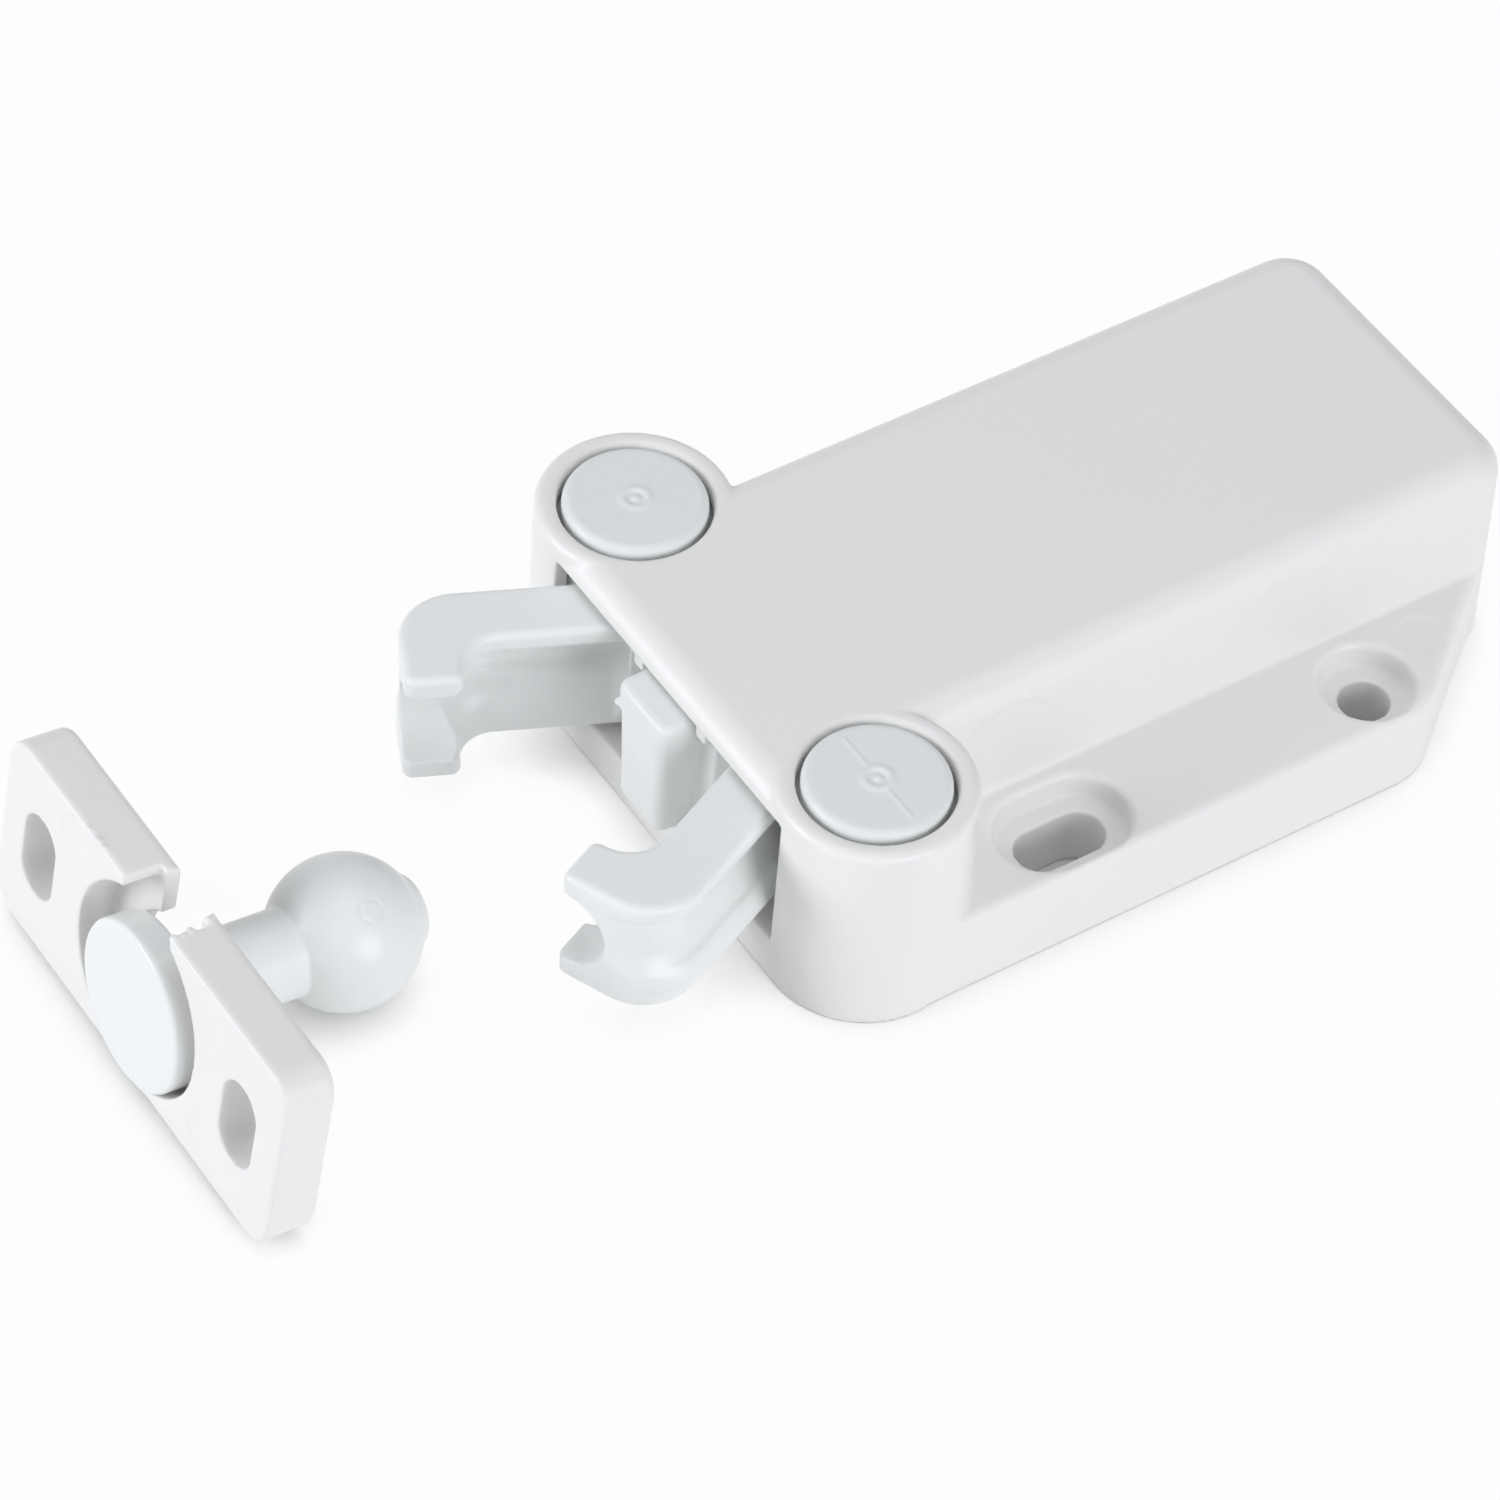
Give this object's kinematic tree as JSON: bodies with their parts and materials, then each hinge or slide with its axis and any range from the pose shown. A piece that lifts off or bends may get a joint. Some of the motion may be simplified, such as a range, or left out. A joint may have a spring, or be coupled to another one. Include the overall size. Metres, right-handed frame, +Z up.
{
  "type": "touch latch with ball strike",
  "caption": "Push-to-open cabinet touch latch whose hooked jaws close round the ball stud of a separate screw-on strike plate.",
  "frame": {"origin": "on the housing's mounting plane, midway between the jaw pivots", "axes": "-Y towards the open jaws and the strike, +Z up from the mounting plane, +X to the right jaw"},
  "size_m": [0.042, 0.101, 0.0164],
  "materials": {
    "housing_plastic": "satin white moulding",
    "pin_plastic": "satin cool white moulding",
    "jaw_plastic": "smooth bluish white moulding",
    "strike_plastic": "satin warm white moulding",
    "spring_steel": "bright drawn wire"
  },
  "bodies": {
    "latch": {"housing": "housing_plastic", "base_cover": "housing_plastic", "left_pivot_pin": "pin_plastic", "right_pivot_pin": "pin_plastic", "main_spring": "spring_steel", "strike_plate": "strike_plastic"},
    "plunger_body": {"plunger": "jaw_plastic"},
    "left_jaw_body": {"left_jaw": "jaw_plastic"},
    "right_jaw_body": {"right_jaw": "jaw_plastic"},
    "follower": {"cam_follower": "spring_steel"},
    "stud": {"ball_stud": "jaw_plastic"}
  },
  "joints": [
    {"name": "plunger_slide", "type": "slide", "parent": "latch", "child": "plunger_body", "axis": [0, 1, 0], "range_m": [0, 0.00532], "stiffness_N_per_m": 300, "springref_m": -0.02, "deforming": ["main_spring"]},
    {"name": "left_jaw_hinge", "type": "hinge", "parent": "latch", "child": "left_jaw_body", "pos_m": [-0.0143, 0, 0.0089], "axis": [0, 0, 1], "range_deg": [0, 26.75]},
    {"name": "right_jaw_hinge", "type": "hinge", "parent": "latch", "child": "right_jaw_body", "pos_m": [0.0143, 0, 0.0089], "axis": [0, 0, -1], "range_deg": [0, 26.75]},
    {"name": "follower_hinge", "type": "hinge", "parent": "latch", "child": "follower", "pos_m": [0, 0.034, 0.003], "axis": [0, 0, 1], "range_deg": [0, 8.35]},
    {"name": "stud_float", "type": "slide", "parent": "latch", "child": "stud", "axis": [0, 0.1228, 0.9924], "range_m": [0, 0.002]}
  ],
  "couplings": [
    {"joint": "left_jaw_hinge", "follows": "plunger_slide", "rad_per_m": 87.606},
    {"joint": "right_jaw_hinge", "follows": "plunger_slide", "rad_per_m": 87.606},
    {"joint": "follower_hinge", "follows": "plunger_slide", "rad_per_m": 27.24}
  ]
}
